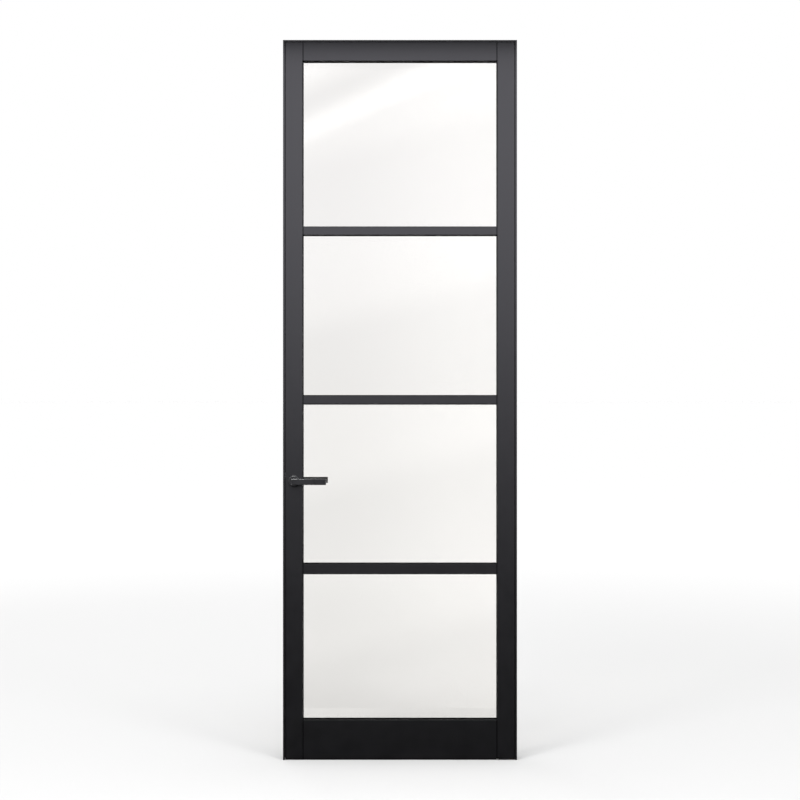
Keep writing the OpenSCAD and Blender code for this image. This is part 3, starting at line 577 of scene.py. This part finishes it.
# %% [markdown]
# ## Bare metals
# The plates of the lock are brushed along their length, its case is galvanised sheet with a faint spangle
# of zinc crystals, the pivot's bushes and washer are turned brass with tool rings around them, and the
# corner keys are sawn from an aluminium section. All four are a metal with fine lines in its gloss and bump;
# what differs is how the lines run.

# %% Bare metals
CRYSTALS = 220.0


def bare_metal(name, dark, lit, rough, lines_per_metre, stretch, depth, spangle=0.0):
    """Lines drawn out along the axes whose stretch is small, and crystals that differ in shade."""
    net = Finish(name)
    lines = noise(net, lines_per_metre, 3.0, stretch)
    shade = lines
    if spangle:
        crystal = net.add("TexVoronoi", {}, {"Vector": net.place(), "Scale": CRYSTALS}, take="Color")
        shade = (1 - spangle) * lines + spangle * crystal
    return net.shade(net.add("BsdfPrincipled", sockets={
        "Base Color": mix(net, shade.step(0.2, 0.8), dark, lit), "Metallic": 1.0,
        "Roughness": rough + 0.16 * shade, "Normal": dent(net, lines, depth)}))


steel = bare_metal("steel", (0.46, 0.47, 0.48), (0.6, 0.61, 0.62), rough=0.2,
                   lines_per_metre=1800.0, stretch=(1, 1, 0.015), depth=0.000004)
zinc = bare_metal("zinc", (0.4, 0.41, 0.43), (0.56, 0.57, 0.58), rough=0.3,
                  lines_per_metre=500.0, stretch=(1, 1, 1), depth=0.000008, spangle=0.7)
brass = bare_metal("brass", (0.5, 0.36, 0.14), (0.66, 0.5, 0.23), rough=0.18,
                   lines_per_metre=2500.0, stretch=(0.02, 0.02, 1), depth=0.000006)
raw_metal = bare_metal("raw_metal", (0.52, 0.53, 0.54), (0.66, 0.67, 0.68), rough=0.32,
                       lines_per_metre=1500.0, stretch=(1, 0.03, 1), depth=0.00001)
print("metals:", steel.name, zinc.name, brass.name, raw_metal.name)

# %% [markdown]
# ## Beech dowels
# The rails hang in the stiles on beech dowels. Beech is pale and pinkish, with short dark flecks along the
# grain, which runs along each dowel.

# %% Beech
BEECH_PALE = (0.6, 0.42, 0.27)
BEECH_DARK = (0.4, 0.24, 0.13)
BEECH_DEPTH = 0.00005
net = Finish("beech")
grain = noise(net, 500.0, 4.0, (0.06, 1, 1))
flecks = noise(net, 900.0, 2.0, (0.25, 1, 1)).step(0.62, 0.72)
raw_wood = net.shade(net.add("BsdfPrincipled", sockets={
    "Base Color": mix(net, 0.5 * grain + 0.5 * flecks, BEECH_PALE, BEECH_DARK),
    "Roughness": 0.55 + 0.2 * grain, "Normal": dent(net, grain, BEECH_DEPTH)}))
print("wood:", raw_wood.name)

# %% [markdown]
# ## The glass
# Clear float glass, 6 mm thick, with the faint waviness that making it leaves and a slightly warm grey body
# colour. It is a closed block, so light bends going in and coming out. For shadow rays it is simply clear,
# because bent shadow rays would turn the panes into dark slabs.

# %% Glass
GLASS_TINT = (0.853, 0.841, 0.82, 1)
GLASS_IOR = 1.52
WAVES = 3.0
WAVE_DEPTH = 0.0001
net = Finish("clear_glass")
body = net.add("BsdfPrincipled", sockets={
    "Base Color": GLASS_TINT, "Roughness": 0.0, "Transmission Weight": 1.0, "IOR": GLASS_IOR,
    "Normal": dent(net, noise(net, WAVES, 1.0), WAVE_DEPTH)})
clear = net.add("BsdfTransparent", sockets={"Color": GLASS_TINT})
for_shadows = net.add("LightPath", take="Is Shadow Ray")
glass = net.shade(net.add("MixShader", sockets={0: for_shadows, 1: body, 2: clear}))
print("glass:", glass.name)

# %% [markdown]
# ## Putting the finishes on
# The record of the door names a finish for every piece, so one table is enough to dress them all. Only the
# lacquer needs a closer look: the stiles, and the beads that stand upright beside the glass, take the
# version whose grain runs up.

# %% Put on the finishes
BY_SLOT = {"frame_coating": frame_coat, "lacquer": level_lacquer, "glass": glass, "rubber": rubber,
           "lever_coating": lever_coat, "steel": steel, "zinc_steel": zinc, "brass": brass,
           "raw_aluminium": raw_metal, "raw_wood": raw_wood}
for part in frame["record"]["subparts"]:
    name = part["node"]
    upright = name in ("lock_stile", "pivot_stile") or name.endswith("_sides")
    material = upright_lacquer if upright else BY_SLOT[part["material_slot"]]
    mesh = nodes[name].data
    mesh.materials.clear()
    mesh.materials.append(material)

# %% [markdown]
# ## Size
# Finishes change no shape, so the dressed door has to be as large as its construction.
